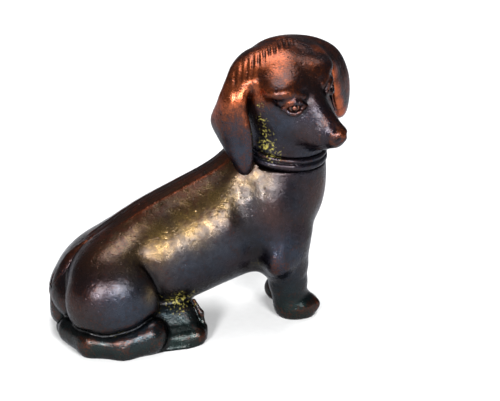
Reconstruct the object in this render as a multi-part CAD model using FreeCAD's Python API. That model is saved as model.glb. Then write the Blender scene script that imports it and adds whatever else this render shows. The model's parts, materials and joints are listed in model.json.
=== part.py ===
"""Sitting dachshund paperweight in bronze: a hollow casting in sections, weighted inside.

Frame: millimetres, +Z up, +X the way the body faces, +Y the dog's left.
The origin is under the middle of the figure, on the surface it stands on.

The body is two half shells that meet on the middle plane.
The head is solid and sits on the neck, held by a stud, a washer and a nut. The collar hides that joint.
Ears and tail are small castings with a peg each, and the eyes are beads on a shank.
An iron slug fills the seat. A screwed plate closes it, and a felt pad lies flush under the plate.
"""
import FreeCAD, Part
import math
import os

V = FreeCAD.Vector

# ---- driving dimensions, mm ----
SHIFT = V(-0.38, 0.0, 0.0)         # moves the whole figure so that the origin is under its middle
WALL = 2.4                         # wall of the castings
GAP = 0.05                         # clearance between fitted pieces
SEAM_REACH = 80.0                  # size of the boxes that halve or trim a shape
BALL_SHARE = 1.03                  # a limb's end ball against the bar that it closes

# trunk sections, rump to withers: (back x, back z, belly x, belly z, half width)
TORSO = (
    (-28.8, 9.6, -27.8, 3.4, 4.6),
    (-27.0, 13.2, -24.0, 1.4, 8.8),
    (-21.4, 19.2, -15.8, 2.4, 11.0),
    (-12.3, 25.3, -5.8, 4.8, 11.6),
    (-4.0, 29.3, 4.6, 8.0, 11.0),
    (1.8, 31.9, 14.2, 11.4, 10.4),
    (5.3, 34.0, 23.2, 18.8, 9.8),
    (7.3, 35.2, 25.2, 27.6, 9.0),
)
SHOULDER_CENTRE = V(13.4, 5.8, 19.6)
SHOULDER_RADII = (6.8, 5.6, 10.2)
SHOULDER_LEAN = -14.0              # degrees about Y
HAUNCH_CENTRE = V(-19.0, 8.8, 10.6)
HAUNCH_RADII = (10.2, 7.7, 9.2)
LEFT_HAUNCH_SET = V(1.8, 0, -2.6)  # the left haunch lies further forward and lower
SHANK_PATH = ((-25.5, 8.6, 3.2, 3.0), (-19.0, 12.2, 3.4, 3.5), (-12.8, 12.9, 3.7, 3.9))
HIND_PAW_PATH = ((-12.0, 8.8, 3.2, 3.3), (-3.6, 9.7, 2.6, 2.9))
SEAT_CENTRE = V(-16.0, 0, 0)
SEAT_HALF = (13.2, 12.6)           # half length and half width of the filled seat
SEAT_HEIGHT = 8.0
WEB_FRONT = -1.6                   # the filling between the hind paws, from the seat up to the belly
WEB_HALF_WIDTH = 9.4
WEB_CORNER = 3.0
FORELEG_PATH = ((13.4, 5.4, 15.0, 5.0), (16.4, 4.6, 8.5, 3.5), (17.4, 4.2, 5.0, 3.1), (17.8, 4.3, 2.4, 3.0))
FORE_PAW_CENTRE = V(19.4, 4.6, 2.3)
FORE_PAW_RADII = (4.3, 3.6, 2.9)
LEFT_FORELEG_LEAD = 2.1            # the left foreleg stands this much further forward
LEFT_PAW_LEAD = 0.2                # and its paw this much

# neck joint and collar
NECK_CENTRE = V(17.0, -1.2, 35.2)
NECK_LEAN = V(0.10, -0.11, 1.0)    # direction of the neck, upwards
NECK_RADIUS = 8.0
COLLAR_INNER = 7.2
COLLAR_OUTER = 8.6
COLLAR_HALF_HEIGHT = 1.35

# head: its own axes are forward, left, up, from the middle of the skull
HEAD_CENTRE = V(16.0, -3.0, 47.8)
HEAD_YAW = -56.5
HEAD_PITCH = 8.5                   # nose down
HEAD_ROLL = 11.0                   # right side down
SKULL_CENTRE = V(-1.2, 0, 0.8)
SKULL_RADII = (9.4, 9.0, 8.7)
CHEEK_CENTRE = V(1.8, 0, -3.9)
CHEEK_RADII = (7.6, 7.5, 6.5)
MUZZLE_PATH = ((2.0, 0, -2.6, 6.2), (8.0, 0, -3.9, 4.5), (12.2, 0, -4.4, 3.1))
NOSE_CENTRE = V(13.2, 0, -3.9)
NOSE_RADIUS = 2.7
EYE_CENTRE = V(6.7, 4.7, 1.0)
EYE_RADIUS = 1.4
EYE_SHANK_RADIUS = 0.6
EYE_SHANK_LENGTH = 3.2
# ear sections: (forward, sideways, up, half width, half thickness). The left ear is swung out and forward
RIGHT_EAR_SECTIONS = (
    (-2.6, 5.2, 8.0, 3.2, 0.9),
    (-3.6, 9.2, 5.8, 4.6, 1.2),
    (-3.4, 11.8, 1.4, 5.2, 1.3),
    (-2.6, 12.6, -4.2, 4.8, 1.3),
    (-0.6, 12.3, -9.2, 3.1, 1.2),
    (1.0, 11.9, -13.0, 1.1, 0.8),
)
LEFT_EAR_SECTIONS = (
    (-2.6, 5.2, 8.0, 3.2, 0.9),
    (-1.6, 9.8, 6.2, 4.4, 1.3),
    (0.2, 13.4, 2.2, 5.0, 1.6),
    (1.2, 14.3, -2.6, 4.8, 1.7),
    (1.6, 14.2, -7.2, 3.6, 1.5),
    (2.4, 13.4, -11.0, 1.4, 0.9),
)
RIGHT_EAR_PEG_FROM = V(-2.6, 9.0, 4.6)
LEFT_EAR_PEG_FROM = V(-1.8, 10.4, 5.0)
EAR_PEG_TO = V(-1.8, 5.0, 3.4)
EAR_PEG_RADIUS = 1.1

# tail: a tapering round bar down the rump, with its tip laid round on the left
TAIL_PATH = (
    (-22.8, 0.0, 18.8, 2.0), (-26.4, 0.0, 14.8, 2.4), (-28.7, 0.0, 9.6, 2.2),
    (-28.8, 0.4, 5.0, 2.1), (-27.9, 2.6, 2.4, 2.0), (-25.2, 7.4, 2.0, 1.8), (-21.4, 12.8, 1.6, 1.3),
)
TAIL_PEG_FROM = V(-29.6, 0, 10.3)
TAIL_PEG_TO = V(-23.4, 0, 9.4)
TAIL_PEG_RADIUS = 1.2

# closing of the seat
PLATE_RADII = (11.0, 10.6)
PLATE_Z = (1.0, 2.4)
SLUG_OPENING = (8.2, 6.2)          # half length and half width of the hole above the plate
FELT_THICKNESS = 1.0
SCREW_SPACING = 17.0
SCREW_RADIUS = 1.0
SCREW_HEAD_RADIUS = 1.9
SCREW_LENGTH = 5.6
SLUG_RADIUS = 5.8
SLUG_HEIGHT = 9.0

# neck stud, nut and washer
STUD_RADIUS = 1.5
STUD_UP = 7.0
STUD_DOWN = 8.0
DIAPHRAGM = 3.2                    # metal left under the neck joint
NUT_FLATS = 5.5
NUT_HEIGHT = 2.2
WASHER_RADIUS = 3.2
WASHER_THICKNESS = 0.6


def ellipsoid(centre, radii, turn=0.0):
    """A sphere stretched to three radii, turned about the Y axis, and moved to its centre."""
    stretch = FreeCAD.Matrix()
    stretch.scale(V(*radii))
    solid = Part.makeSphere(1.0).transformGeometry(stretch)
    solid.rotate(V(0, 0, 0), V(0, 1, 0), turn)
    solid.translate(centre)
    return solid


def ring_edge(centre, normal, side, half_side, half_other):
    """A closed ellipse round a centre: half_side along the side direction, half_other across it."""
    other = normal.cross(side).normalize()
    placed = FreeCAD.Placement(FreeCAD.Matrix(
        side.x, other.x, normal.x, centre.x,
        side.y, other.y, normal.y, centre.y,
        side.z, other.z, normal.z, centre.z, 0, 0, 0, 1))
    big, small = (half_side, half_other) if half_side >= half_other else (half_other, half_side)
    oval = Part.Ellipse(V(0, 0, 0), big, small).toShape()
    if half_side < half_other:
        oval.rotate(V(0, 0, 0), V(0, 0, 1), 90)
    oval.Placement = placed.multiply(oval.Placement)
    return Part.Wire([oval])


def torso(shrink=0.0, first=0):
    """The trunk from rump to neck: a loft through ovals that turn upright into the round neck."""
    wires = []
    for back_x, back_z, belly_x, belly_z, half_width in TORSO[first:]:
        rise = V(back_x - belly_x, 0, back_z - belly_z)
        half_height = rise.Length / 2 - shrink
        centre = V((back_x + belly_x) / 2, 0, (back_z + belly_z) / 2)
        normal = V(rise.z, 0, -rise.x).normalize()
        wires.append(ring_edge(centre, normal, V(0, 1, 0), half_width - shrink, half_height))
    axis = neck_axis()
    side = (V(0, 1, 0) - axis * axis.y).normalize()
    radius = NECK_RADIUS - shrink
    wires.append(ring_edge(NECK_CENTRE, axis, side, radius * 1.001, radius))
    return Part.makeLoft(wires, True, False)


def web():
    """The filled corner between the hind paws and the belly."""
    length = WEB_FRONT - SEAT_CENTRE.x
    block = Part.makeBox(length, 2 * WEB_HALF_WIDTH, SEAT_HEIGHT + 1.0, V(SEAT_CENTRE.x, -WEB_HALF_WIDTH, -1.0))
    upright = [e for e in block.Edges if e.BoundBox.ZLength > 1 and e.BoundBox.XMin > SEAT_CENTRE.x + 1]
    return block.makeFillet(WEB_CORNER, upright)


def limb(path):
    """A bar of changing thickness: a loft through a circle at each point, and a ball at each end."""
    points = [V(x, y, z) for x, y, z, r in path]
    wires = []
    for i, (x, y, z, r) in enumerate(path):
        along = (points[min(i + 1, len(points) - 1)] - points[max(i - 1, 0)]).normalize()
        wires.append(Part.Wire([Part.Circle(points[i], along, r).toShape()]))
    bar = Part.makeLoft(wires, True, False)
    balls = [Part.makeSphere(path[i][3] * BALL_SHARE, points[i]) for i in (0, -1)]
    return [bar, *balls]


def half_space(low, high):
    """A box between two corners, used to trim."""
    size = high - low
    return Part.makeBox(size.x, size.y, size.z, low)


def oval_prism(centre, radii, low, high):
    """An upright elliptical plug."""
    base = ring_edge(V(centre.x, centre.y, low), V(0, 0, 1), V(1, 0, 0), *radii)
    return Part.Face(base).extrude(V(0, 0, high - low))


def mirrored(shapes):
    """The same shapes on the other side of the middle plane."""
    return [shape.mirror(V(0, 0, 0), V(0, 1, 0)) for shape in shapes]


def fuse(shapes):
    """One solid from overlapping ones."""
    whole = shapes[0].multiFuse(list(shapes[1:]))
    return whole.removeSplitter()


def biggest(shape):
    """The largest solid of a cut shape, without its slivers."""
    return max(shape.Solids, key=lambda solid: solid.Volume)


def neck_axis():
    """The unit direction of the neck."""
    return V(NECK_LEAN).normalize()


def neck_cylinder(radius, low, high):
    """A cylinder on the neck's axis, from low to high along it, counted from the joint."""
    axis = neck_axis()
    return Part.makeCylinder(radius, high - low, NECK_CENTRE + axis * low, axis)


def head_placement():
    """Carries the head's own axes into the figure's frame."""
    turn = FreeCAD.Rotation(V(0, 0, 1), HEAD_YAW)
    turn = turn.multiply(FreeCAD.Rotation(V(0, 1, 0), HEAD_PITCH))
    turn = turn.multiply(FreeCAD.Rotation(V(1, 0, 0), HEAD_ROLL))
    return FreeCAD.Placement(HEAD_CENTRE, turn)


def in_head(shape):
    """Moves a shape from the head's own axes to the figure's frame."""
    moved = shape.copy()
    moved.Placement = head_placement().multiply(moved.Placement)
    return moved


def body_outer():
    """The whole outer form of the body, down to the surface it stands on."""
    haunch = ellipsoid(HAUNCH_CENTRE, HAUNCH_RADII)
    hind = [*limb(SHANK_PATH), *limb(HIND_PAW_PATH)]
    arm = [ellipsoid(SHOULDER_CENTRE, SHOULDER_RADII, SHOULDER_LEAN), *limb(FORELEG_PATH)]
    paw = ellipsoid(FORE_PAW_CENTRE, FORE_PAW_RADII)
    parts = [
        torso(),
        oval_prism(SEAT_CENTRE, SEAT_HALF, -1.0, SEAT_HEIGHT),
        web(),
        haunch.translated(LEFT_HAUNCH_SET), *mirrored([haunch]),
        *hind, *mirrored(hind),
        *[shape.translated(V(LEFT_FORELEG_LEAD, 0, 0)) for shape in arm], *mirrored(arm),
        paw.translated(V(LEFT_PAW_LEAD, 0, 0)), *mirrored([paw]),
    ]
    whole = fuse(parts)
    floor = half_space(V(-SEAM_REACH, -SEAM_REACH, -20), V(SEAM_REACH, SEAM_REACH, 0))
    return whole.cut(floor)


def body_cavity():
    """The hollow in the body: the trunk again, smaller by the wall, and a hollow in each haunch."""
    trunk = torso(shrink=WALL, first=2)
    ceiling = neck_cylinder(SEAM_REACH, -DIAPHRAGM, SEAM_REACH)
    floor = half_space(V(-SEAM_REACH, -SEAM_REACH, -20), V(SEAM_REACH, SEAM_REACH, PLATE_Z[1] + WALL))
    hip = ellipsoid(HAUNCH_CENTRE, [r - WALL for r in HAUNCH_RADII])
    room = oval_prism(SEAT_CENTRE, SLUG_OPENING, -1.0, PLATE_Z[1] + SLUG_HEIGHT + 1.0)
    hips = [hip.translated(LEFT_HAUNCH_SET), *mirrored([hip])]
    hollow = fuse([trunk, *hips]).cut(ceiling).cut(floor)
    return fuse([hollow, room])


def seat_recess():
    """The shallow oval pocket in the seat that takes the plate and the felt."""
    radii = (PLATE_RADII[0] + GAP, PLATE_RADII[1] + GAP)
    return oval_prism(SEAT_CENTRE, radii, -1.0, PLATE_Z[1])


def screw_places():
    """Where the two screws stand, one in each half of the body."""
    return [V(SEAT_CENTRE.x, side * SCREW_SPACING / 2, 0) for side in (-1, 1)]


def screw_tools():
    """The screws' tapped holes, up from the plate."""
    top = PLATE_Z[0] + SCREW_LENGTH + GAP
    return [Part.makeCylinder(SCREW_RADIUS, top + 1.0, p + V(0, 0, -1.0)) for p in screw_places()]


def collar_groove():
    """The ring that the collar takes out of the neck."""
    half = COLLAR_HALF_HEIGHT + GAP
    outside = neck_cylinder(COLLAR_OUTER + 6.0, -half, half)
    return outside.cut(neck_cylinder(COLLAR_INNER - GAP, -half - 1.0, half + 1.0))


def tail_bar():
    """The tail's tapering bar, flat where it meets the ground."""
    floor = half_space(V(-SEAM_REACH, -SEAM_REACH, -20), V(SEAM_REACH, SEAM_REACH, 0))
    return fuse(limb(TAIL_PATH)).cut(floor)


def tail_peg(grow=0.0):
    """The peg that holds the tail in the rump."""
    run = TAIL_PEG_TO - TAIL_PEG_FROM
    return Part.makeCylinder(TAIL_PEG_RADIUS + grow, run.Length + grow, TAIL_PEG_FROM, run)


def neck_stud():
    """A threaded rod on the neck's axis, plain here."""
    return neck_cylinder(STUD_RADIUS, -STUD_DOWN, STUD_UP)


def neck_washer():
    """The washer under the neck's diaphragm."""
    low = -DIAPHRAGM - WASHER_THICKNESS
    ring = neck_cylinder(WASHER_RADIUS, low, -DIAPHRAGM)
    return ring.cut(neck_cylinder(STUD_RADIUS + GAP, low - 1.0, 0))


def neck_nut():
    """A hexagon nut under the washer."""
    axis = neck_axis()
    top = -DIAPHRAGM - WASHER_THICKNESS
    across = NUT_FLATS / math.sqrt(3)
    side = axis.cross(V(0, 1, 0)).normalize()
    other = axis.cross(side)
    start = NECK_CENTRE + axis * (top - NUT_HEIGHT)
    corners = []
    for k in range(7):
        a = math.radians(60 * k)
        corners.append(start + side * (across * math.cos(a)) + other * (across * math.sin(a)))
    block = Part.Face(Part.makePolygon(corners)).extrude(axis * NUT_HEIGHT)
    return block.cut(neck_cylinder(STUD_RADIUS + GAP, top - NUT_HEIGHT - 1.0, top + 1.0))


def collar():
    """The collar: a band with two round beads, turned about the neck's axis."""
    half, inner, outer = COLLAR_HALF_HEIGHT, COLLAR_INNER, COLLAR_OUTER
    bead = half / 2
    base = outer - bead
    points = [V(inner, 0, -half), V(base, 0, -half)]
    low = Part.Arc(points[1], V(outer, 0, -bead), V(base, 0, 0)).toShape()
    high = Part.Arc(V(base, 0, 0), V(outer, 0, bead), V(base, 0, half)).toShape()
    edges = [
        Part.LineSegment(points[0], points[1]).toShape(), low, high,
        Part.LineSegment(V(base, 0, half), V(inner, 0, half)).toShape(),
        Part.LineSegment(V(inner, 0, half), points[0]).toShape(),
    ]
    ring = Part.Face(Part.Wire(edges)).revolve(V(0, 0, 0), V(0, 0, 1), 360)
    ring.Placement = FreeCAD.Placement(NECK_CENTRE, FreeCAD.Rotation(V(0, 0, 1), neck_axis()))
    return ring


def ear_local(sections):
    """An ear on the right, in the head's axes: a loft of flat ovals down its length."""
    wires = []
    for i, (f, l, u, half_width, half_thick) in enumerate(sections):
        after = sections[min(i + 1, len(sections) - 1)]
        before = sections[max(i - 1, 0)]
        down = V(after[0] - before[0], before[1] - after[1], after[2] - before[2]).normalize()
        width = V(1, 0, 0)
        width = (width - down * width.dot(down)).normalize()
        wires.append(ring_edge(V(f, -l, u), down, width, half_width, half_thick))
    return Part.makeLoft(wires, True, False)


def ear_peg_local(start):
    """The peg of an ear on the right, in the head's axes, from inside the ear into the skull."""
    a = V(start.x, -start.y, start.z)
    b = V(EAR_PEG_TO.x, -EAR_PEG_TO.y, EAR_PEG_TO.z)
    run = b - a
    return Part.makeCylinder(EAR_PEG_RADIUS, run.Length, a, run)


def eye_local(grow=0.0):
    """The left eye in the head's axes: a bead with a shank that points into the head."""
    inward = (SKULL_CENTRE - EYE_CENTRE).normalize()
    bead = Part.makeSphere(EYE_RADIUS + grow, EYE_CENTRE, inward)
    shank = Part.makeCylinder(EYE_SHANK_RADIUS + grow, EYE_SHANK_LENGTH + grow, EYE_CENTRE, inward)
    return fuse([bead, shank])


def head_outer():
    """The head's outer form without ears and eyes, in the figure's frame."""
    local = [
        ellipsoid(SKULL_CENTRE, SKULL_RADII),
        ellipsoid(CHEEK_CENTRE, CHEEK_RADII),
        *limb(MUZZLE_PATH),
        Part.makeSphere(NOSE_RADIUS, NOSE_CENTRE),
    ]
    axis = neck_axis()
    top = HEAD_CENTRE + V(-0.6, 0.4, -4.0)
    wires = [
        Part.Wire([Part.Circle(NECK_CENTRE, axis, NECK_RADIUS).toShape()]),
        Part.Wire([Part.Circle(NECK_CENTRE + axis * 4.0, axis, NECK_RADIUS * 1.02).toShape()]),
        Part.Wire([Part.Circle(top, axis, NECK_RADIUS * 0.9).toShape()]),
    ]
    throat = Part.makeLoft(wires, True, False)
    return fuse([*[in_head(s) for s in local], throat])


def build():
    """Every piece of the paperweight, by the name of its node."""
    groove = collar_groove()
    stud_hole = neck_cylinder(STUD_RADIUS + GAP, -STUD_DOWN - 1.0, STUD_UP + GAP)
    above = neck_cylinder(SEAM_REACH, 0.0, SEAM_REACH)

    body = body_outer().cut(above).cut(groove)
    tail = fuse([biggest(tail_bar().cut(body)), tail_peg()])
    shell = body
    for tool in (body_cavity(), seat_recess(), *screw_tools(), stud_hole, tail_peg(GAP)):
        shell = shell.cut(tool)
    right_side = half_space(V(-SEAM_REACH, -SEAM_REACH, -SEAM_REACH), V(SEAM_REACH, 0, SEAM_REACH))
    left_side = half_space(V(-SEAM_REACH, 0, -SEAM_REACH), V(SEAM_REACH, SEAM_REACH, SEAM_REACH))

    head = head_outer().cut(groove).cut(stud_hole)
    right_ear, right_peg = ear_local(RIGHT_EAR_SECTIONS), ear_peg_local(RIGHT_EAR_PEG_FROM)
    left_ear, left_peg = mirrored([ear_local(LEFT_EAR_SECTIONS), ear_peg_local(LEFT_EAR_PEG_FROM)])
    left_eye = eye_local()
    right_eye = mirrored([left_eye])[0]
    ears = {}
    for name, ear, peg in (("right_ear", right_ear, right_peg), ("left_ear", left_ear, left_peg)):
        leaf = in_head(ear).cut(head).cut(body)
        ears[name] = fuse([biggest(leaf), in_head(peg)])
        head = head.cut(ears[name])
    for socket in (eye_local(GAP), mirrored([eye_local(GAP)])[0]):
        head = head.cut(in_head(socket))

    plate = oval_prism(SEAT_CENTRE, PLATE_RADII, *PLATE_Z)
    screws = []
    for place in screw_places():
        depth = SCREW_HEAD_RADIUS - SCREW_RADIUS
        sunk = Part.makeCone(SCREW_HEAD_RADIUS, SCREW_RADIUS, depth, place + V(0, 0, PLATE_Z[0]))
        shank = Part.makeCylinder(SCREW_RADIUS, SCREW_LENGTH - depth, place + V(0, 0, PLATE_Z[0] + depth))
        screw = fuse([sunk, shank])
        plate = plate.cut(screw)
        screws.append(screw)
    felt = oval_prism(SEAT_CENTRE, PLATE_RADII, 0.0, FELT_THICKNESS)
    slug = Part.makeCylinder(SLUG_RADIUS, SLUG_HEIGHT, V(SEAT_CENTRE.x, 0, PLATE_Z[1]))
    slug = slug.makeChamfer(0.8, slug.Edges)

    return {
        "body_right_shell": shell.common(right_side),
        "body_left_shell": shell.common(left_side),
        "head_casting": head,
        **ears,
        "right_eye": in_head(right_eye),
        "left_eye": in_head(left_eye),
        "collar": collar(),
        "tail": tail,
        "neck_stud": neck_stud(),
        "neck_washer": neck_washer(),
        "neck_nut": neck_nut(),
        "ballast_slug": slug,
        "base_plate": plate,
        "base_screws": Part.makeCompound(screws),
        "seat_felt": felt,
    }


def main():
    """Moves every piece so that the origin is under the middle, and writes one STEP file a node."""
    os.makedirs("parts", exist_ok=True)
    for name, shape in build().items():
        shape.translate(SHIFT)
        solids = shape.Solids
        print(name, len(solids), "solid", round(sum(s.Volume for s in solids), 1), "cubic mm", shape.isValid())
        Part.makeCompound(solids).exportStep(f"parts/{name}.step")


main()
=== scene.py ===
# %% [markdown]
# A sitting dachshund cast in bronze, small enough to hold down a sheet of paper.
# The frame holds the fitted parts: the pieces of the casting, the slug, the plate, the screws and the felt.
# This script loads that frame and makes the modelled castings and every finish round it.

# %% Load the frame
import json
import math

import bpy
import numpy as np
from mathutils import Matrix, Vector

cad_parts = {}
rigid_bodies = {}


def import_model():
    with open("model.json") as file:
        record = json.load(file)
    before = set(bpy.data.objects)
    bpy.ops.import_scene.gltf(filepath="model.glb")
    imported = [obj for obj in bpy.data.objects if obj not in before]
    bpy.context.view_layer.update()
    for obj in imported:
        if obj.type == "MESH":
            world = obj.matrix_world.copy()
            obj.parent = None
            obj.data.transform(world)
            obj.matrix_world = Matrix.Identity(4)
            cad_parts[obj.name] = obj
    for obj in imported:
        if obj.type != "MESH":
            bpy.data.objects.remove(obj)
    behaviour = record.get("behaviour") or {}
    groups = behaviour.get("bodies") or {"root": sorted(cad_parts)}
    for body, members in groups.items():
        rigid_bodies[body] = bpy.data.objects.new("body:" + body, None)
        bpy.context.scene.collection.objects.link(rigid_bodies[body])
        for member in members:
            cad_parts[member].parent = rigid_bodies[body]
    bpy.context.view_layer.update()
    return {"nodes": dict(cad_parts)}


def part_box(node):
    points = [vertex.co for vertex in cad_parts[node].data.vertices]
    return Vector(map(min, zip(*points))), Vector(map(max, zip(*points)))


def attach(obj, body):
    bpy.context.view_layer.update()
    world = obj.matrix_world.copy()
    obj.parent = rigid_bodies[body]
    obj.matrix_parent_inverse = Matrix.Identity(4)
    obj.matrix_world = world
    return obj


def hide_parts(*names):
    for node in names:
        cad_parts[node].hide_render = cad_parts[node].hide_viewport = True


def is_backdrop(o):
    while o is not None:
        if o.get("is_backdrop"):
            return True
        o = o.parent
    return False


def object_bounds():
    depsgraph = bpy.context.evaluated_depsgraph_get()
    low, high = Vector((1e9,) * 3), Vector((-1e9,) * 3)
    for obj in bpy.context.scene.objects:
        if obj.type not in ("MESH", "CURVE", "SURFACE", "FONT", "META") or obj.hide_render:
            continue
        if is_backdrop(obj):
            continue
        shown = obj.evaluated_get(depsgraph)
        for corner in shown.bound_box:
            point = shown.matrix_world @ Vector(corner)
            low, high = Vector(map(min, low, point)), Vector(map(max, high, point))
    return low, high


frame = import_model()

import openvdb
from mathutils import Vector

MM = 0.001

# %% [markdown]
# The figure is drawn in millimetres, with the middle of the seat's felt at (-16, 0) on the ground.
# The frame says where that felt really is, so one shift carries the whole drawing into the frame.
# The head has axes of its own (forward, left, up), because a face is far easier to model square.

# %% Places and axes
felt_low, felt_high = (np.array(corner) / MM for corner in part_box("seat_felt"))
SEAT_DRAWN = np.array([-16.0, 0.0, 0.0])
SHIFT = (felt_low + felt_high) / 2 - SEAT_DRAWN
SHIFT[2] = 0.0
FINE = 0.27          # step of the modelling grid on the body, mm
FINE_HEAD = 0.2      # the same on the head, mm

NECK = np.array([17.0, -1.2, 35.2])
NECK_LEAN = np.array([0.10, -0.11, 1.0])
NECK_AXIS = NECK_LEAN / np.linalg.norm(NECK_LEAN)
HEAD = np.array([16.0, -3.0, 47.8])
HEAD_YAW, HEAD_PITCH, HEAD_ROLL = -56.5, 8.5, 11.0


def turned(axis, degrees):
    """The 3 x 3 turn about one axis: cosine on the two moved axes, sine between them."""
    a = math.radians(degrees)
    first, second = [(1, 2), (2, 0), (0, 1)]["xyz".index(axis)]
    m = np.eye(3)
    m[first, first] = m[second, second] = math.cos(a)
    m[first, second], m[second, first] = -math.sin(a), math.sin(a)
    return m


HEAD_TURN = turned("z", HEAD_YAW) @ turned("y", HEAD_PITCH) @ turned("x", HEAD_ROLL)
print("shift from drawing to frame, mm:", np.round(SHIFT, 2))

# %% [markdown]
# A modelled animal has no edges, only masses that run into each other, as clay does under a thumb.
# A surface of two parameters can't branch into legs and ears, so the castings are made another way.
# Each mass is a distance: negative inside, positive outside, worked out over a whole grid of points.
# Masses are joined with a soft minimum, hollows are cut with a soft maximum, and the zero level is the skin.

# %% Distances for masses
def grid_points(low, high, step):
    """Three arrays x, y, z that hold the places of a regular grid's points."""
    axes = [np.arange(a, b, step, dtype=np.float32) for a, b in zip(low, high)]
    return np.meshgrid(*axes, indexing="ij")


def oval(p, centre, radii, turn=None):
    """Distance to an ellipsoid: k (k - 1) / g, with k the scaled radius and g its slope."""
    q = [p[i] - np.float32(centre[i]) for i in range(3)]
    if turn is not None:
        m = np.asarray(turn, dtype=np.float32)
        q = [m[0, i] * q[0] + m[1, i] * q[1] + m[2, i] * q[2] for i in range(3)]
    scaled = [(a / np.float32(r)) ** 2 for a, r in zip(q, radii)]
    k = np.sqrt(scaled[0] + scaled[1] + scaled[2])
    g = np.sqrt(sum(s / np.float32(r * r) for s, r in zip(scaled, radii)))
    return k * (k - 1) / np.maximum(g, np.float32(1e-6))


def limb(p, path):
    """Distance to a bar through balls: to each straight run, less a radius that changes along it."""
    best = None
    for a, b in zip(path[:-1], path[1:]):
        a, b = np.float32(a), np.float32(b)
        run = b[:3] - a[:3]
        q = [p[i] - a[i] for i in range(3)]
        t = np.clip((q[0] * run[0] + q[1] * run[1] + q[2] * run[2]) / np.dot(run, run), 0, 1)
        d = np.sqrt(sum((q[i] - t * run[i]) ** 2 for i in range(3))) - (a[3] + t * (b[3] - a[3]))
        best = d if best is None else join(best, d, 0.8)
    return best


def join(a, b, soft):
    """Soft minimum: the smaller distance, less (soft - gap)^2 / 4 soft where the two are close."""
    gap = np.maximum(soft - np.abs(a - b), 0)
    return np.minimum(a, b) - gap * gap / (4 * soft)


def carve(a, b, soft):
    """Takes b out of a: the soft maximum of a and minus b."""
    return -join(-a, b, soft)


def meet(a, b, soft):
    """What a and b have in common: the soft maximum."""
    return -join(-a, -b, soft)


def ramp(v, low, high):
    """0 below low, 1 above high, and the smooth cubic 3t^2 - 2t^3 between."""
    t = np.clip((v - low) / (high - low), 0, 1)
    return t * t * (3 - 2 * t)


def along(points, count):
    """Points on a smooth curve through the given rows (Catmull-Rom), evenly in its parameter."""
    p = np.asarray(points, dtype=float)
    p = np.vstack([2 * p[0] - p[1], p, 2 * p[-1] - p[-2]])
    s = np.linspace(0, len(p) - 3, count)
    i = np.minimum(s.astype(int), len(p) - 4)
    t = (s - i)[:, None]
    a, b, c, d = p[i], p[i + 1], p[i + 2], p[i + 3]
    square, cube = 2 * a - 5 * b + 4 * c - d, 3 * b - a - 3 * c + d
    return 0.5 * (2 * b + (c - a) * t + square * t**2 + cube * t**3)


print("modelling step, mm:", FINE, FINE_HEAD)

# %% [markdown]
# The trunk is a row of upright ovals from the rump to the withers, each given by the back's point,
# the belly's point and half its width, as a modeller sets out ribs. Thick discs on those ovals, joined
# softly, make one sausage of clay that is deep in the chest and broad over the hips.

# %% Trunk
TRUNK = (  # back x, back z, belly x, belly z, half width
    (-27.9, 12.6, -26.0, 4.0, 7.0),
    (-21.8, 19.0, -16.8, 3.6, 10.4),
    (-12.3, 25.2, -5.8, 4.8, 11.4),
    (-4.0, 29.2, 4.6, 8.2, 10.9),
    (1.8, 31.8, 14.0, 11.8, 10.2),
    (5.2, 33.9, 22.6, 18.6, 9.5),
    (7.2, 35.4, 25.0, 27.2, 8.8),
    (8.9, 37.0, 24.8, 34.6, 8.0),
)
RIBS = 26


def trunk_mass(p):
    """The row of discs: each an oval across the spine, 0.8 of its height thick."""
    whole = None
    for bx, bz, lx, lz, half_width in along(TRUNK, RIBS):
        half_height = math.hypot(bx - lx, bz - lz) / 2
        lean = math.degrees(math.atan2(lx - bx, bz - lz))
        middle = ((bx + lx) / 2, 0, (bz + lz) / 2)
        disc = oval(p, middle, (half_height * 0.8, half_width, half_height), turned("y", -lean))
        whole = disc if whole is None else join(whole, disc, 1.2)
    return whole


# %% [markdown]
# Haunch, shank and hind paw lie one in front of the other on each side, with a hard crease between.
# The haunch melts into the back at its top, so the softness of that joint grows with height.
# The foreleg stands under the shoulder, with a bulging elbow and a deep fold behind it.

# %% Legs
HAUNCH = ((-19.4, 8.8, 10.2), (9.4, 7.5, 9.2))
LEFT_HAUNCH_SET = (2.4, -4.2)          # the left haunch lies this much further forward and higher
SHANK = ((-27.0, 5.0, 2.6, 2.9), (-24.0, 11.2, 2.6, 3.4),   # each point of a path: x, y, z, radius
         (-18.6, 13.4, 2.4, 3.5), (-13.6, 12.9, 3.4, 3.9))
HEEL_FILL = ((-16.0, 0.0, 0.0), (13.4, 12.4, 8.6))
PAW_WEDGE = (  # outward normal (forward, out, up) and its distance from the origin
    ((0.0, 0.834, 0.552), 12.2),
    ((0.941, 0.0, 0.337), -0.7),
    ((0.856, 0.518, 0.0), 4.3),
    ((-1.0, 0.0, 0.0), 16.0),
    ((0.0, 0.0, 1.0), 8.6),
)
TOE_ROLL = ((-9.0, 12.2, 1.6, 1.7), (-3.6, 11.8, 1.5, 1.8), (-2.4, 9.6, 1.5, 1.6))
FLASH = ((-3.4, 9.0, 7.8, 0.4), (-2.2, 9.9, 5.4, 0.45),     # the thin rim the mould left on the paw's front
         (-1.7, 10.6, 2.6, 0.45), (-1.8, 11.0, 0.4, 0.5))
SHOULDER = ((13.6, 5.6, 20.4), (6.8, 5.1, 10.6))
ELBOW = ((13.4, 8.0, 15.2), (4.4, 4.3, 4.5))
FOLD = ((6.8, 9.4, 30.0), (7.2, 10.4, 26.0), (8.2, 10.8, 21.5), (9.2, 10.2, 16.5), (9.8, 8.8, 12.5))
FORELEG = ((15.4, 5.2, 18.0, 5.9), (16.6, 4.6, 12.0, 4.5), (17.3, 4.2, 7.5, 3.8), (17.7, 4.2, 2.8, 3.3))
FORE_PAW = ((19.3, 4.6, 2.0), (4.2, 3.6, 3.2))
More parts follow.
